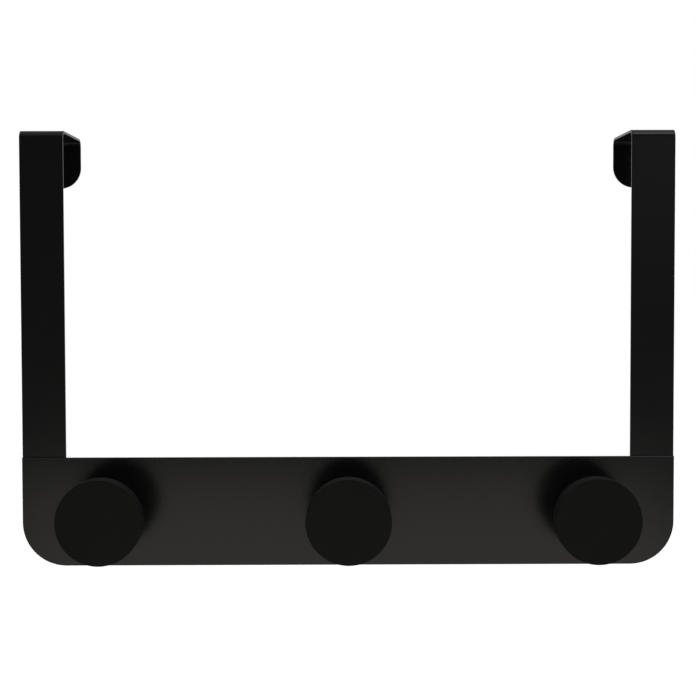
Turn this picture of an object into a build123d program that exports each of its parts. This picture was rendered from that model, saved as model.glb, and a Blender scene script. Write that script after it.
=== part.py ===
from build123d import *
from math import radians, tan
import os

# Over-door hook rail: two steel straps bend over the top of a door and carry a sheet-steel plate with
# three disc knobs. X runs to the right as seen from the front, Y into the door and Z up. The origin is
# the middle of the door's top front edge, so the straps' back faces lie on Y = 0 and the undersides of
# their bridges on Z = 0. Sizes are in millimetres and angles in degrees.

# Whole rail
rail_width = 300.0  # over the outer edges of the straps and the ends of the plate
rail_height = 200.0  # from the top of the bridges to the lower edge of the plate
door_gap = 40.0  # thickest door that fits between the straps and their lips

# Sheet steel
plate_height = 50.0
plate_thickness = 1.2
plate_corner_radius = 20.0
strap_width = 20.0
strap_thickness = 1.2
strap_lap = 26.0  # length of strap behind the plate
bend_radius = 2.5  # inside the bends
lip_height = 24.0  # from the top of the bridge to the lowest point of the lip
sheet_edge_break = 0.25  # punched edges, softened by tumbling and by the coat
edge_limit = 0.25  # largest edge break, as a share of the sheet's thickness
sharp_angle = 45.0  # faces that turn by more than this meet in a sharp edge

# Spot welds, seen as shallow round marks on the backs of the straps
weld_mark_diameter = 5.0
weld_mark_depth = 0.15
weld_mark_spacing = 9.0
weld_mark_count = 2

# Knobs, each turned as one piece
knob_inset = 20.0  # from the inner edge of a strap to the centre of the outer knob
knob_rise = 25.0  # from the lower edge of the plate to the knob's centre
disc_diameter = 38.0
disc_thickness = 10.0
disc_rim_break = 0.6
stem_diameter = 12.0
stem_length = 20.0
stem_root_flare = 1.0

# Screws, put in from behind
screw_diameter = 4.0
screw_reach = 10.0  # length of thread inside the stem
screw_head_diameter = 9.0
screw_head_break = 0.3
recess_span = 4.4
recess_width = 0.9
recess_depth = 0.7
drill_point_angle = 118.0

# Clearances
hole_clearance = 0.4  # plate hole over the screw's diameter
thread_clearance = 0.1  # tapped hole over the screw's diameter
hole_end_clearance = 1.5  # tapped hole beyond the screw's end
head_door_clearance = 0.2  # screw head in from the backs of the straps

# Places worked out from the sizes above
plate_bottom = strap_thickness - rail_height
plate_top = plate_bottom + plate_height
plate_back = -strap_thickness
plate_front = plate_back - plate_thickness
strap_centre = (rail_width - strap_width) / 2
outer_knob = rail_width / 2 - strap_width - knob_inset
knob_level = plate_bottom + knob_rise
knob_places = {"left": -outer_knob, "middle": 0.0, "right": outer_knob}


def sharp_edges(solid):
    """Edges where two faces meet at a clear angle, without those between tangent faces."""
    chosen = []
    for edge in solid.edges():
        middle = edge.position_at(0.5)
        normals = [face.normal_at(middle) for face in solid.faces() if edge in face.edges()]
        if normals[0].get_angle(normals[1]) > sharp_angle:
            chosen.append(edge)
    return chosen


def break_edges(edges, thickness):
    """Take the sharpness off the edges of a sheet, within what its thickness allows."""
    return chamfer(edges, min(sheet_edge_break, edge_limit * thickness))


def make_plate():
    """Flat plate with square upper corners, round lower corners and a screw hole for each knob."""
    back = Plane.XZ.offset(-plate_back)
    outline = Pos(0, plate_bottom + plate_height / 2) * Rectangle(rail_width, plate_height)
    lower_corners = outline.vertices().group_by(Axis.Y)[0]
    plate = extrude(back * fillet(lower_corners, plate_corner_radius), plate_thickness)
    skins = plate.faces().sort_by(Axis.Y)
    plate = break_edges(skins[0].edges() + skins[-1].edges(), plate_thickness)
    hole = Circle((screw_diameter + hole_clearance) / 2)
    for x in knob_places.values():
        plate -= extrude(back * Pos(x, knob_level) * hole, plate_thickness)
    return plate


def round_end(x, level, front):
    """Half disc of strap that closes a leg below the given level, with its front face at Y = front."""
    radius = strap_width / 2
    half = Circle(radius) - Pos(0, radius) * Rectangle(strap_width, strap_width)
    return extrude(Plane.XZ.offset(-front) * Pos(x, level) * half, -strap_thickness)


def make_strap(x):
    """Strip bent into an inverted J: upright, bridge over the door and lip, with round ends."""
    end_radius = strap_width / 2
    tail_level = plate_top - strap_lap + end_radius
    lip_level = strap_thickness - lip_height + end_radius
    section = make_face(
        Polyline(
            (-strap_thickness, tail_level),
            (-strap_thickness, strap_thickness),
            (door_gap + strap_thickness, strap_thickness),
            (door_gap + strap_thickness, lip_level),
            (door_gap, lip_level),
            (door_gap, 0),
            (0, 0),
            (0, tail_level),
            close=True,
        )
    )
    section = fillet(section.vertices().group_by(Axis.Y)[-2], bend_radius)
    section = fillet(section.vertices().group_by(Axis.Y)[-1], bend_radius + strap_thickness)
    strap = extrude(Plane.YZ.offset(x - end_radius) * section, strap_width)
    strap += round_end(x, tail_level, -strap_thickness)
    strap += round_end(x, lip_level, door_gap)
    strap = break_edges(sharp_edges(strap), strap_thickness)
    mark = Circle(weld_mark_diameter / 2)
    for place in GridLocations(0, weld_mark_spacing, 1, weld_mark_count):
        lap_middle = Pos(x, plate_top - strap_lap / 2)
        strap -= extrude(Plane.XZ * lap_middle * place * mark, weld_mark_depth)
    return strap


def make_knob():
    """Disc on a stem, turned about Z, with the stem's seat at Z = 0 and a tapped hole in the seat."""
    stem_radius = stem_diameter / 2
    disc_radius = disc_diameter / 2
    face_level = stem_length + disc_thickness
    section = make_face(
        Polyline(
            (0, 0),
            (stem_radius, 0),
            (stem_radius, stem_length),
            (disc_radius, stem_length),
            (disc_radius, face_level),
            (0, face_level),
            close=True,
        )
    )
    root = section.vertices().group_by(Axis.X)[1].sort_by(Axis.Y)[-1]
    section = chamfer(root, stem_root_flare)
    section = chamfer(section.vertices().group_by(Axis.X)[-1], disc_rim_break)
    hole_radius = (screw_diameter + thread_clearance) / 2
    hole_depth = screw_reach + hole_end_clearance
    hole_tip = hole_depth + hole_radius / tan(radians(drill_point_angle / 2))
    hole = make_face(
        Polyline((0, 0), (hole_radius, 0), (hole_radius, hole_depth), (0, hole_tip), close=True)
    )
    return revolve(Plane.XZ * (section - hole), Axis.Z)


def make_screw():
    """Thin-headed screw along Z with a cross recess, its head seated at Z = 0 and facing -Z."""
    head_height = strap_thickness - head_door_clearance
    head_radius = screw_head_diameter / 2
    head = make_face(
        Polyline((0, 0), (head_radius, 0), (head_radius, -head_height), (0, -head_height), close=True)
    )
    back_rim = head.vertices().group_by(Axis.X)[-1].sort_by(Axis.Y)[0]
    screw = revolve(Plane.XZ * chamfer(back_rim, screw_head_break), Axis.Z)
    screw += extrude(Circle(screw_diameter / 2), plate_thickness + screw_reach)
    wing = Rectangle(recess_span, recess_width)
    cross = wing + Rot(0, 0, 90) * wing
    screw -= extrude(Pos(0, 0, -head_height) * cross, recess_depth)
    return screw


def facing_front(x, y):
    """Plane at a knob's centre whose Z axis points out of the door, towards the front."""
    return Plane(origin=(x, y, knob_level), x_dir=(1, 0, 0), z_dir=(0, -1, 0))


os.makedirs("parts", exist_ok=True)
export_step(make_plate(), "parts/front_plate.step")
export_step(make_strap(-strap_centre), "parts/left_strap.step")
export_step(make_strap(strap_centre), "parts/right_strap.step")
for name, x in knob_places.items():
    export_step(facing_front(x, plate_front) * make_knob(), f"parts/{name}_knob.step")
screws = [facing_front(x, plate_back) * make_screw() for x in knob_places.values()]
export_step(Compound(children=screws), "parts/knob_screws.step")
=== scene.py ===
# %% [markdown]
# # An over-door hook rail in satin black
# The object is a coat rail that hangs on a door: two steel straps bend over the door's top edge and
# carry a wide plate with three disc knobs. The construction comes in as a fixed frame of solids at
# real size, in metres: X to the right, Y into the door, Z up, with the origin at the middle of the
# door's top front edge. This file dresses that frame. It never moves a solid. Where a surface wants a
# finer form than its solid has, a new mesh takes the solid's place.

# %% Load the frame
import math

import bmesh
import bpy
import numpy as np
from mathutils import Matrix, Vector


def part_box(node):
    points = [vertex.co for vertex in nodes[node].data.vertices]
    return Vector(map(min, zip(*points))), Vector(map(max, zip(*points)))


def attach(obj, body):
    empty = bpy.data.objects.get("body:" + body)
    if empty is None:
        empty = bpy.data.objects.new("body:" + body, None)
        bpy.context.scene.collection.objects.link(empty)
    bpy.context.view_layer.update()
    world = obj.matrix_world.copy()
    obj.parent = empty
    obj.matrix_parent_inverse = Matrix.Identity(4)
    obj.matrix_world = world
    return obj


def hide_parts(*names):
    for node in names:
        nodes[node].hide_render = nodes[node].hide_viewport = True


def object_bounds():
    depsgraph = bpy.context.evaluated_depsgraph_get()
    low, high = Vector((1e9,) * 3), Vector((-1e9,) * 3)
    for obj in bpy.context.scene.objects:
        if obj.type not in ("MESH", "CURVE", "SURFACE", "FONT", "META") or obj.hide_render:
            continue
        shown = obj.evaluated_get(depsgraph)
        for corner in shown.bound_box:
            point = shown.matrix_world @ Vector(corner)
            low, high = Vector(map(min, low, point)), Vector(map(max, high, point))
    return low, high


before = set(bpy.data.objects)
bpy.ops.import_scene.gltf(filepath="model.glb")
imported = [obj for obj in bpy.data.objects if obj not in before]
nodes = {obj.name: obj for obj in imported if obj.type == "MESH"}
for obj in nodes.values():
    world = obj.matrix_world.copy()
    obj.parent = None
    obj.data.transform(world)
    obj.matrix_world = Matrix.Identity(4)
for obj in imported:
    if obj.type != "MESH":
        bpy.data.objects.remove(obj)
cad_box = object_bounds()
mm = 0.001
print("solids:", sorted(nodes))
print("box in mm:", [[round(v / mm, 1) for v in corner] for corner in cad_box])

# %% [markdown]
# ## Sizes read from the frame
# Most sizes can be read from the boxes of the solids, so they can't drift away from the
# construction. The straps' backs lie on Y = 0, which makes a strap's thickness the distance that its
# box reaches in front of that plane. What a box can't tell, such as a bend's radius, is written here.

# %% Measure the solids
plate_low, plate_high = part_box("front_plate")
strap_low, strap_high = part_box("left_strap")
knob_low, knob_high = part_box("middle_knob")
sheet = -strap_low.y
door_gap = strap_high.y - sheet
strap_width = strap_high.x - strap_low.x
disc_radius = (knob_high.x - knob_low.x) / 2
knob_depth = knob_high.y - knob_low.y
bend_radius = 2.5 * mm
edge_radius = 0.3 * mm
for label, size in (("sheet", sheet), ("door gap", door_gap), ("knob depth", knob_depth)):
    print(label, round(size / mm, 2), "mm")

# %% [markdown]
# ## From a grid of points to a mesh
# Every new surface here is a function of two parameters, worked out on a whole grid of points at
# once. One helper turns such a grid into a mesh: it numbers the points row by row, joins four
# neighbours into a face, closes the grid round its second parameter, and merges points that fall
# together, as they do at a pole or along a seam. Writing the arrays with from_pydata is much faster
# than adding vertices one at a time, and the formula stays in sight.

# %% Grid to mesh
merge_distance = 0.0005 * mm


def grid_faces(rows, columns):
    """Corner numbers of a grid's faces, closed round its columns.

    A face joins the points (i, j), (i, j+1), (i+1, j+1) and (i+1, j); point (i, j) is number
    i * columns + j, and the column after the last one is the first.
    """
    i, j = np.meshgrid(np.arange(rows - 1), np.arange(columns), indexing="ij")
    k = (j + 1) % columns
    here, below = i * columns, (i + 1) * columns
    return np.stack([here + j, here + k, below + k, below + j], axis=-1).reshape(-1, 4)


def new_piece(name, grids, stands_for):
    """One object from a list of closed grids, each rows x columns x 3, riding on the rail."""
    points = [grid.reshape(-1, 3) for grid in grids]
    starts = np.cumsum([0] + [len(p) for p in points])
    faces = [grid_faces(*grid.shape[:2]) + start for grid, start in zip(grids, starts)]
    mesh = bpy.data.meshes.new(name)
    mesh.from_pydata(np.concatenate(points).tolist(), [], np.concatenate(faces).tolist())
    work = bmesh.new()
    work.from_mesh(mesh)
    bmesh.ops.remove_doubles(work, verts=work.verts, dist=merge_distance)
    bmesh.ops.recalc_face_normals(work, faces=work.faces)
    work.to_mesh(mesh)
    work.free()
    mesh.shade_smooth()
    piece = bpy.data.objects.new(name, mesh)
    bpy.context.scene.collection.objects.link(piece)
    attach(piece, "root")
    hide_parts(stands_for)
    print(name, len(mesh.vertices), "points", len(mesh.polygons), "faces")
    return piece


# %% [markdown]
# ## The straps: cut flat, rounded, then bent
# A real strap is cut from strip with round ends, tumbled so that its edges lose their sharpness, and
# folded twice. A box with bevels would get the bends' edges wrong, so the mesh is made in the same
# order as the part. First comes the flat blank, a shape like a running track: every point is a core
# point on the centre line plus a reach in some direction. Rows of that track at several reaches and
# heights wrap the whole blank, from the middle of the front skin, over the rounded edge, to the
# middle of the back skin. Then one formula bends every point at once.

# %% Flat blank of a strap


def track_rows(half_width, thickness, rounding, steps=6, skin_rows=18):
    """Reach and height of each row: front skin, quarter-round edge, side, edge again, back skin."""
    guard = 0.15 * mm
    flat = half_width - rounding
    skin = np.append(np.linspace(0, flat - guard, skin_rows), flat)
    turn = np.linspace(0, math.pi / 2, steps + 1)[1:]
    edge_reach = half_width - rounding + rounding * np.sin(turn)
    edge_height = thickness / 2 - rounding + rounding * np.cos(turn)
    reach = np.concatenate([skin, edge_reach])
    height = np.concatenate([np.full(len(skin), thickness / 2), edge_height])
    return np.concatenate([reach, reach[::-1]]), np.concatenate([height, -height[::-1]])


def track_columns(stations, half_width, end_steps=28):
    """Core place and outward direction of each column: one side, round end, other side, round end."""
    sweep = np.linspace(0, math.pi, end_steps + 1)[1:-1]
    last, first = stations[-1], stations[0]
    end_last, end_first = np.full(len(sweep), last), np.full(len(sweep), first)
    near_side, far_side = np.zeros(len(stations)), np.full(len(stations), math.pi)
    core = np.concatenate([stations, end_last, stations[::-1], end_first])
    angle = np.concatenate([near_side, sweep, far_side, sweep + math.pi])
    return core, np.cos(angle), np.sin(angle)


# %% [markdown]
# Bending needs the centre line of the side view. Walking along it, the strap climbs the door's face,
# turns a quarter circle, crosses the door's top, turns again and drops behind. Each stretch adds to
# the place only while the walk is inside it, so np.clip gives the length walked in every stretch and
# the place is a plain sum, with no loop and no branches.

# %% Bend the blank


class BentStrip:
    """Centre line of the side view, from the tail behind the plate to the end of the lip."""

    def __init__(self, tail_level, lip_level):
        self.tail_level = tail_level
        self.radius = bend_radius + sheet / 2
        self.upright = -bend_radius - tail_level
        self.bridge = door_gap - 2 * bend_radius
        self.lip = -bend_radius - lip_level
        self.turn = self.radius * math.pi / 2
        lengths = [self.upright, self.turn, self.bridge, self.turn, self.lip]
        self.marks = np.cumsum([0.0] + lengths)

    def place(self, along, height):
        """Y and Z of points at a distance along the strip and a height out from its centre line."""
        climb = np.clip(along, 0, self.marks[1])
        first = np.clip((along - self.marks[1]) / self.radius, 0, math.pi / 2)
        cross = np.clip(along - self.marks[2], 0, self.bridge)
        second = np.clip((along - self.marks[3]) / self.radius, 0, math.pi / 2)
        drop = np.clip(along - self.marks[4], 0, None)
        y = -sheet / 2 + self.radius * (1 - np.cos(first)) + cross + self.radius * np.sin(second)
        z = self.tail_level + climb + self.radius * (np.sin(first) + np.cos(second) - 1) - drop
        heading = math.pi / 2 - first - second
        return y - height * np.sin(heading), z + height * np.cos(heading)


# %% [markdown]
# Each strap is held to the plate by two spot welds. The electrode leaves a shallow round dent on the
# strap's back, with a soft rim because the coat flows over it. The dent is real geometry: the back
# skin's points are lifted towards the front by a smooth bowl. The stations along the strip lie close
# together where something happens, in the lap and in the bends, and far apart elsewhere.

# %% Build both straps
weld_levels = [plate_high.z - 8.5 * mm, plate_high.z - 17.5 * mm]
weld_radius = 2.5 * mm
weld_rim = 0.6 * mm
weld_depth = 0.15 * mm
lap_stretch = 14 * mm
skin_slack = 1e-9


def smooth_step(value):
    """0 below 0, 1 above 1, and 3t^2 - 2t^3 in between."""
    t = np.clip(value, 0, 1)
    return t * t * (3 - 2 * t)


def strap_grid(centre_x, tail_level, lip_level):
    """The bent strap: track-shaped blank, dented at its welds, carried round the bends."""
    half = strap_width / 2
    strip = BentStrip(tail_level, lip_level)
    marks = strip.marks
    guard = 0.2 * mm
    lap_end = half + lap_stretch
    stretches = [
        np.linspace(half, lap_end, 47),
        np.linspace(lap_end, marks[1] - guard, 12),
        np.linspace(marks[1], marks[2], 17),
        np.linspace(marks[2] + guard, marks[3] - guard, 8),
        np.linspace(marks[3], marks[4], 17),
        np.linspace(marks[4] + guard, marks[5] - half, 6),
    ]
    stations = np.unique(np.concatenate(stretches))
    reach, height = track_rows(half, sheet, edge_radius)
    core, across, onward = track_columns(stations, half)
    x = reach[:, None] * across
    along = core + reach[:, None] * onward
    out = np.broadcast_to(height[:, None], x.shape).copy()
    on_back = out < -sheet / 2 + skin_slack
    for level in weld_levels:
        distance = np.hypot(x, along - (level - tail_level))
        bowl = smooth_step((weld_radius - distance) / weld_rim) * weld_depth
        out = np.where(on_back, out + bowl, out)
    y, z = strip.place(along, out)
    return np.stack([centre_x + x, y, z], axis=-1)


def corners_of(node):
    """All corners of a solid's mesh as rows of x, y, z."""
    flat = np.empty(3 * len(node.data.vertices))
    node.data.vertices.foreach_get("co", flat)
    return flat.reshape(-1, 3)


straps = []
for side in ("left", "right"):
    low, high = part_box(side + "_strap")
    solid = corners_of(nodes[side + "_strap"])
    lip_level = solid[solid[:, 1] > door_gap, 2].min()
    grid = strap_grid((low.x + high.x) / 2, low.z, lip_level)
    straps.append(new_piece(side + "_strap_bent", [grid], side + "_strap"))
    print(side, "lip ends at", round(lip_level / mm, 1), "mm")

# %% [markdown]
# ## The knobs: one turned profile
# A knob is a disc on a stem, cut in one piece on a lathe, with a tapped hole in the end of the stem.
# Any turned part is a profile spun round an axis, so the whole knob is one list of corners with a
# small radius at each, because real edges are never sharp. The corners are rounded by arcs that touch
# both sides, with a guard point on either side of each arc, so that smooth shading stays flat on the
# faces.

# %% Turn a profile


def rounded_profile(corners, steps=7):
    """Radius and height along a turned profile.

    Each corner (radius, height, rounding) becomes an arc that touches both its sides: the arc's
    centre lies on the bisector, at rounding / sin(half angle) from the corner.
    """
    guard = 0.12 * mm
    flat = np.array([c[:2] for c in corners])
    roundings = [c[2] for c in corners[1:-1]]
    path = [flat[0]]
    for before, corner, after, rounding in zip(flat, flat[1:], flat[2:], roundings):
        inward = (before - corner) / np.linalg.norm(before - corner)
        onward = (after - corner) / np.linalg.norm(after - corner)
        half = math.acos(np.clip(inward @ onward, -1, 1)) / 2
        touch = rounding / math.tan(half)
        middle = (inward + onward) / np.linalg.norm(inward + onward)
        centre = corner + middle * rounding / math.sin(half)
        sweep = np.linspace(-1, 1, steps + 1) * (math.pi / 2 - half)
        side = (onward - inward) / np.linalg.norm(onward - inward)
        arc = centre - rounding * (np.cos(sweep)[:, None] * middle - np.sin(sweep)[:, None] * side)
        path += [corner + inward * (touch + guard), *arc, corner + onward * (touch + guard)]
    path.append(flat[-1])
    return np.array(path)


def spin(profile, centre, columns=160):
    """The profile turned round an axis along -Y: x = r cos a, z = r sin a, y = -height."""
    angle = np.linspace(0, 2 * math.pi, columns, endpoint=False)
    x = centre[0] + profile[:, :1] * np.cos(angle)
    z = centre[2] + profile[:, :1] * np.sin(angle)
    y = centre[1] - np.repeat(profile[:, 1:], columns, axis=1)
    return np.stack([x, y, z], axis=-1)


# %% [markdown]
# The profile starts at the tip of the blind hole, where a drill leaves a blunt cone, comes out of the
# hole, crosses the end of the stem, climbs the stem, and goes round the disc to the middle of its
# face. Both ends lie on the axis, so the spun surface is closed. The disc's thickness, the stem and the
# hole can't be read from a box, so they are written here.

# %% Build the three knobs
disc_thickness = 10 * mm
stem_radius = 6 * mm
stem_root = 1.0 * mm
stem_edge = 0.2 * mm
rim_radius = 0.6 * mm
hole_radius = 2.05 * mm
hole_depth = 11.5 * mm
hole_edge = 0.1 * mm
drill_point = math.radians(118)
hole_tip = hole_depth + hole_radius / math.tan(drill_point / 2)
disc_back = knob_depth - disc_thickness
knob_corners = [
    (0, hole_tip, 0),
    (hole_radius, hole_depth, hole_edge),
    (hole_radius, 0, stem_edge),
    (stem_radius, 0, stem_edge),
    (stem_radius, disc_back, stem_root),
    (disc_radius, disc_back, rim_radius),
    (disc_radius, knob_depth, rim_radius),
    (0, knob_depth, 0),
]
knob_profile = rounded_profile(knob_corners)
knobs = []
for side in ("left", "middle", "right"):
    low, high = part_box(side + "_knob")
    seat = ((low.x + high.x) / 2, high.y, (low.z + high.z) / 2)
    grid = spin(knob_profile, seat)
    knobs.append(new_piece(side + "_knob_turned", [grid], side + "_knob"))

# %% [markdown]
# ## The screws behind the plate
# Three thin-headed machine screws pull the knobs against the plate. From behind, only the heads
# show, each with a cross recess. A head is nearly flat, so it can be drawn as a height over a disc:
# the recess is where that height dips, along two arms that narrow towards their bottom. The thread
# is a helix: the radius of the shank rises and falls once for every pitch of height plus turn.

# %% Screw surfaces
screw_low, screw_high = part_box("knob_screws")
head_radius = (screw_high.z - screw_low.z) / 2
head_height = screw_high.y - plate_high.y
shank_length = plate_high.y - screw_low.y
shank_radius = 2 * mm
thread_pitch = 0.7 * mm
thread_depth = 0.38 * mm
thread_rows = 6
tip_fade = 1.2 * mm
screw_columns = 96
arm_width, arm_slope = 0.62 * mm, 0.3 * mm
arm_reach, arm_run_out = 2.3 * mm, 0.5 * mm
arm_depth = 0.7 * mm


def head_rows(centre, angle, rows=44):
    """Head as a height over a disc: a soft dome, less a cross whose arms are dips of smooth width."""
    radius = head_radius * np.linspace(0, 1, rows)[:, None]
    u, v = radius * np.cos(angle), radius * np.sin(angle)
    rim = 0.35 * mm
    inset = np.clip((radius - (head_radius - rim)) / rim, 0, 1)
    dome = head_height - rim * (1 - np.sqrt(1 - inset**2)) + 0 * angle
    near = np.minimum(np.abs(u), np.abs(v))
    far = np.maximum(np.abs(u), np.abs(v))
    across = smooth_step((arm_width - near) / arm_slope)
    arm = across * smooth_step((arm_reach - far) / arm_run_out)
    top = np.stack([centre[0] + u, centre[1] + dome - arm_depth * arm, centre[2] + v], axis=-1)
    skirt = top[-1:].copy()
    skirt[..., 1] = centre[1]
    return np.concatenate([top, skirt])


def shank_rows(centre, angle):
    """Thread: radius = core + depth times a triangle wave of (height / pitch + turn).

    The wave fades out at both ends, and the last row closes the tip on the axis.
    """
    height = np.linspace(0, shank_length, int(shank_length / thread_pitch * thread_rows))[:, None]
    turn = angle / (2 * math.pi)
    wave = np.abs(2 * ((height / thread_pitch + turn) % 1) - 1)
    fade = smooth_step((shank_length - height) / tip_fade) * smooth_step(height / thread_pitch - 1)
    radius = shank_radius - thread_depth + thread_depth * wave * fade
    x, z = centre[0] + radius * np.cos(angle), centre[2] + radius * np.sin(angle)
    wall = np.stack([x, centre[1] - height + 0 * turn, z], axis=-1)
    tip = np.array([centre[0], centre[1] - shank_length, centre[2]])
    tip = np.broadcast_to(tip, wall[-1:].shape)
    return np.concatenate([wall, tip])


screw_turn = np.linspace(0, 2 * math.pi, screw_columns, endpoint=False)
screw_grids = []
for side in ("left", "middle", "right"):
    low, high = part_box(side + "_knob")
    seat = ((low.x + high.x) / 2, plate_high.y, (low.z + high.z) / 2)
    screw_grids.append(np.concatenate([head_rows(seat, screw_turn), shank_rows(seat, screw_turn)]))
screws = new_piece("knob_screws_threaded", screw_grids, "knob_screws")

# %% [markdown]
# ## Shader maths as plain expressions
# A finish is easier to read as a sum than as a web of nodes. Term wraps one output socket, and its
# operators add the Math node that does the work, so 0.4 + 0.1 * grain is two nodes. Every other node
# comes from Graph.add, which takes the node's type, its settings and what goes into its sockets.

# %% Terms and graphs


class Term:
    """An output socket that can be written in a sum."""

    def __init__(self, graph, socket):
        self.graph = graph
        self.socket = socket

    def math(self, operation, first, second):
        return self.graph.add("ShaderNodeMath", {"operation": operation}, {0: first, 1: second})

    def __add__(self, other):
        return self.math("ADD", self, other)

    def __mul__(self, other):
        return self.math("MULTIPLY", self, other)

    def __sub__(self, other):
        return self.math("SUBTRACT", self, other)

    def __rsub__(self, other):
        return self.math("SUBTRACT", other, self)

    __radd__ = __add__
    __rmul__ = __mul__


class Graph:
    """The node tree of one finish, cleared and ready for terms."""

    def __init__(self, owner):
        owner.use_nodes = True
        self.tree = owner.node_tree
        self.tree.nodes.clear()

    def add(self, kind, settings=None, inputs=None, output=0):
        node = self.tree.nodes.new(kind)
        for name, value in (settings or {}).items():
            setattr(node, name, value)
        for name, value in (inputs or {}).items():
            if isinstance(value, Term):
                self.tree.links.new(value.socket, node.inputs[name])
            else:
                node.inputs[name].default_value = value
        return Term(self, node.outputs[output]) if node.outputs else None

    def noise(self, scale, detail=2.0):
        place = self.add("ShaderNodeTexCoord", output="Object")
        return self.add("ShaderNodeTexNoise", {}, {"Vector": place, "Scale": scale, "Detail": detail})

    def blend(self, factor, first, second):
        settings = {"data_type": "RGBA"}
        return self.add("ShaderNodeMix", settings, {0: factor, 6: first, 7: second}, output=2)

    def bump(self, height, distance):
        return self.add("ShaderNodeBump", {}, {"Height": height, "Distance": distance, "Strength": 1.0})

    def surface(self, **sockets):
        inputs = {name.replace("_", " "): value for name, value in sockets.items()}
        shader = self.add("ShaderNodeBsdfPrincipled", {}, inputs)
        self.add("ShaderNodeOutputMaterial", {}, {"Surface": shader})


# %% [markdown]
# ## Satin black powder coat
# Plate and straps wear a baked powder coat. Close up it is not smooth: the powder melts into a fine
# orange peel about a millimetre across, with a finer grain on top, and both spread the reflections
# into a soft sheen. The colour itself is nearly black and even. So the finish is one dark colour with
# a faint cloud in it, a roughness that breathes a little, and a bump in two sizes. Specular IOR Level
# is one number for the whole coat. It keeps the sheen low, so the faces stay black in a bright room.

# %% Powder coat


def powder_coat():
    material = bpy.data.materials.new("satin_black_powder_coat")
    graph = Graph(material)
    cloud = graph.noise(40.0)
    peel = graph.noise(900.0)
    grain = graph.noise(3200.0, 1.0)
    colour = graph.blend(cloud, (0.0023, 0.0023, 0.0022, 1), (0.0032, 0.0032, 0.0030, 1))
    height = peel + 0.35 * grain
    graph.surface(
        Base_Color=colour,
        Roughness=0.205 + 0.03 * cloud + 0.03 * grain,
        Normal=graph.bump(height, 0.008 * mm),
        Specular_IOR_Level=0.10,
    )
    return material


# %% [markdown]
# ## Matte black knobs
# The knobs are darker and duller than the plate around them, so they have a finish of their own: a
# matte paint with a finer, drier grain and hardly any sheen. A matte face looks the same from every
# side, so its darkness is mostly its colour, where the coat's darkness is mostly what it reflects.

# %% Matte paint


def matte_paint():
    material = bpy.data.materials.new("matte_black_paint")
    graph = Graph(material)
    cloud = graph.noise(60.0)
    grain = graph.noise(4200.0, 1.0)
    colour = graph.blend(cloud, (0.0046, 0.0046, 0.0044, 1), (0.0056, 0.0056, 0.0054, 1))
    graph.surface(
        Base_Color=colour,
        Roughness=0.82 + 0.04 * cloud + 0.05 * grain,
        Normal=graph.bump(grain, 0.015 * mm),
        Specular_IOR_Level=0.03,
    )
    return material


# %% [markdown]
# ## Zinc-plated screws
# Small hardware is usually zinc plated: a pale grey metal with a faint cloudiness from the plating
# bath. Metallic is 1, so the base colour is the colour of its reflections.

# %% Zinc plating


def zinc_plating():
    material = bpy.data.materials.new("zinc_plated_steel")
    graph = Graph(material)
    cloud = graph.noise(500.0)
    grain = graph.noise(2600.0)
    colour = graph.blend(cloud, (0.50, 0.51, 0.52, 1), (0.62, 0.62, 0.60, 1))
    graph.surface(
        Base_Color=colour,
        Metallic=1.0,
        Roughness=0.30 + 0.14 * cloud,
        Normal=graph.bump(grain, 0.003 * mm),
    )
    return material


# %% [markdown]
# The plate keeps the mesh of its solid, so its own material slot is emptied first. The new pieces have
# no material yet. One coat serves the plate and both straps, as they would be coated in one go.

# %% Dress the pieces
coat, paint, zinc = powder_coat(), matte_paint(), zinc_plating()
for piece in [nodes["front_plate"], *straps]:
    piece.data.materials.clear()
    piece.data.materials.append(coat)
for piece in knobs:
    piece.data.materials.append(paint)
screws.data.materials.append(zinc)
print("finishes:", [m.name for m in (coat, paint, zinc)])

# %% [markdown]
# ## A white studio with a dim camera side
# Black things are photographed by what they reflect. Behind the rail everything is white, so edges
# seen at a glancing angle shine. The side where the camera stands is dim, so the faces that look at
# the camera stay black. The world does both: its brightness grows with the Y of the direction. A ray
# straight from the camera always finds plain white, and mirrored rays that leave to the back find the
# same white, so a shiny screw shows the background that the picture shows.

# %% World
dim_until, white_from = -0.35, 0.55
dim_level = 0.31
ray_kinds = ("Is Camera Ray", "Is Glossy Ray", "Is Transmission Ray")
scene = bpy.context.scene
scene.view_settings.view_transform = "Standard"
scene.world = bpy.data.worlds.new("studio")
sky = Graph(scene.world)
direction = sky.add("ShaderNodeTexCoord", output="Generated")
depth = sky.add("ShaderNodeSeparateXYZ", {}, {0: direction}, output="Y")
behind = sky.add(
    "ShaderNodeMapRange",
    {"interpolation_type": "SMOOTHSTEP"},
    {"Value": depth, "From Min": dim_until, "From Max": white_from, "To Min": 0.0, "To Max": 1.0},
)
watched, mirrored, through = (sky.add("ShaderNodeLightPath", output=kind) for kind in ray_kinds)
room = dim_level + (1 - dim_level) * behind
white = watched + (mirrored + through) * behind
level = room + white * (1 - room)
glow = sky.add("ShaderNodeBackground", {}, {"Color": (1, 1, 1, 1), "Strength": level})
sky.add("ShaderNodeOutputWorld", {}, {"Surface": glow})
print("world:", len(sky.tree.nodes), "nodes, camera side at", dim_level)

# %% [markdown]
# The floor is a plain white sheet well below the rail, which hangs in the air as it would on its
# door. About half of its white comes as a glow that the camera sees, straight or in a reflection, so
# it meets the white background without a line. The rest is lit, so it still takes the rail's soft
# shadow.

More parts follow.
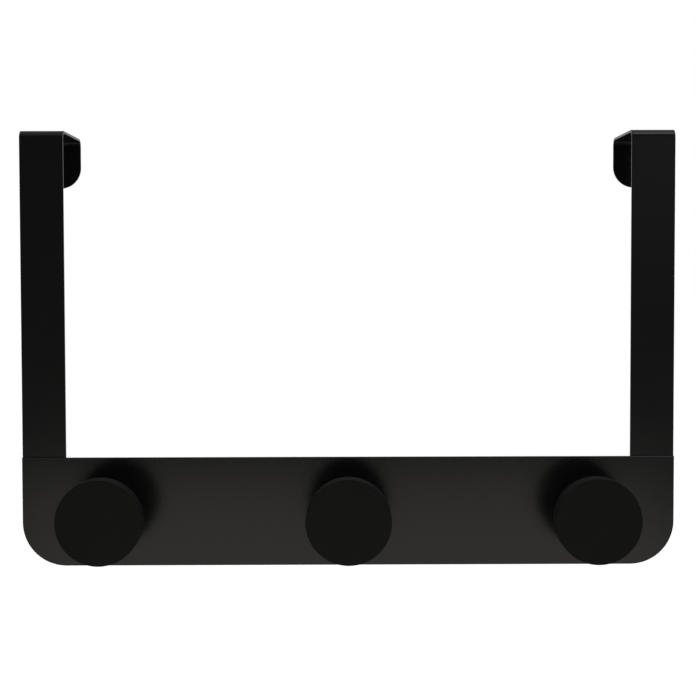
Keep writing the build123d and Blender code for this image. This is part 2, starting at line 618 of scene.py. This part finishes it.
# %% Floor
floor_drop = 0.90
floor_reach = 6.0
floor_white = (0.82, 0.82, 0.82, 1)
floor_glow = 0.53
floor_level = cad_box[0].z - floor_drop
floor_mesh = bpy.data.meshes.new("floor")
corners = np.array([[-1, -1, 0], [1, -1, 0], [1, 1, 0], [-1, 1, 0]]) * floor_reach
corners = corners + [0, 0, floor_level]
floor_mesh.from_pydata(corners.tolist(), [], [[0, 1, 2, 3]])
floor = bpy.data.objects.new("floor", floor_mesh)
scene.collection.objects.link(floor)
floor_paint = bpy.data.materials.new("white_sheet")
ground = Graph(floor_paint)
lit = ground.add("ShaderNodeBsdfDiffuse", {}, {"Color": floor_white})
watched, mirrored, through = (ground.add("ShaderNodeLightPath", output=kind) for kind in ray_kinds)
strength = (watched + mirrored + through) * floor_glow
shine = ground.add("ShaderNodeEmission", {}, {"Color": (1, 1, 1, 1), "Strength": strength})
both = ground.add("ShaderNodeAddShader", {}, {0: lit, 1: shine})
ground.add("ShaderNodeOutputMaterial", {}, {"Surface": both})
floor_mesh.materials.append(floor_paint)
print("floor at", round(floor_level / mm), "mm")

# %% [markdown]
# ## Soft lamps
# Area lamps stand for softboxes and white cards, each aimed at the middle of the rail and hidden from
# the camera. A satin face shows mostly what lies in its mirror direction. Seen from a little above,
# the plate mirrors what lies low in front, so a long, slightly warm card there lights it and leaves
# the straps above it dark. A small lamp low on the right lifts the plate's right end, and a softbox
# higher on the right gives the right strap its sheen. Two broad softboxes overhead draw a light line
# along the bends, the stronger one on the right.

# %% Lamps
aim = (Vector(cad_box[0]) + Vector(cad_box[1])) / 2
# place in metres, width and height in metres, power in watts, colour
lamps = {
    "low_card": ((-0.007, -0.221, -0.251), (0.416, 0.139), 0.46, (1.0, 0.95, 0.89)),
    "low_right": ((0.379, -0.669, -0.375), (0.107, 0.081), 0.20, (1.0, 0.97, 0.93)),
    "front_right": ((0.387, -0.827, 0.125), (0.363, 0.338), 0.25, (1.0, 1.0, 1.0)),
    "above_left": ((-0.370, -0.330, 1.000), (0.600, 0.900), 2.0, (1.0, 1.0, 1.0)),
    "above_right": ((0.390, -0.420, 1.000), (0.600, 0.600), 6.0, (1.0, 1.0, 1.0)),
}
for name, (place, (width, height), power, tint) in lamps.items():
    lamp = bpy.data.lights.new(name, "AREA")
    lamp.color = tint
    lamp.shape = "RECTANGLE"
    lamp.size = width
    lamp.size_y = height
    lamp.energy = power
    holder = bpy.data.objects.new(name, lamp)
    holder.location = place
    holder.rotation_euler = (aim - Vector(place)).to_track_quat("-Z", "Y").to_euler()
    holder.visible_camera = False
    scene.collection.objects.link(holder)
print("lamps:", {name: str(power) + " W" for name, (_, _, power, _) in lamps.items()})

# %% [markdown]
# ## The camera
# The photograph was taken from straight ahead, a little above the middle of the rail. The place and
# the lens were worked out from the rail's edges in the picture: the lips, which lie further back,
# show inside the straps, and the discs, which lie nearer, show larger than their true share. The
# picture was trimmed after it was taken, so the lens looks at row 325 and not at the middle row. A
# small vertical shift of the lens stands for that.

# %% Camera
image_width = 696
focal_pixels = 1316.5
axis_row = 325
eye_place = Vector((-2.47, -605.14, -64.93)) * mm
yaw, pitch, roll = (math.radians(a) for a in (0.234, 2.199, 0.139))
eye = bpy.data.cameras.new("camera")
eye.sensor_width = 36
eye.lens = focal_pixels / image_width * eye.sensor_width
eye.shift_y = (axis_row - image_width / 2) / image_width
camera = bpy.data.objects.new("camera", eye)
level_turn = Matrix.Rotation(-yaw, 4, "Z") @ Matrix.Rotation(math.pi / 2 - pitch, 4, "X")
turn = level_turn @ Matrix.Rotation(-roll, 4, "Z")
camera.matrix_world = Matrix.Translation(eye_place) @ turn
scene.collection.objects.link(camera)
scene.camera = camera
print("lens", round(eye.lens, 1), "mm")
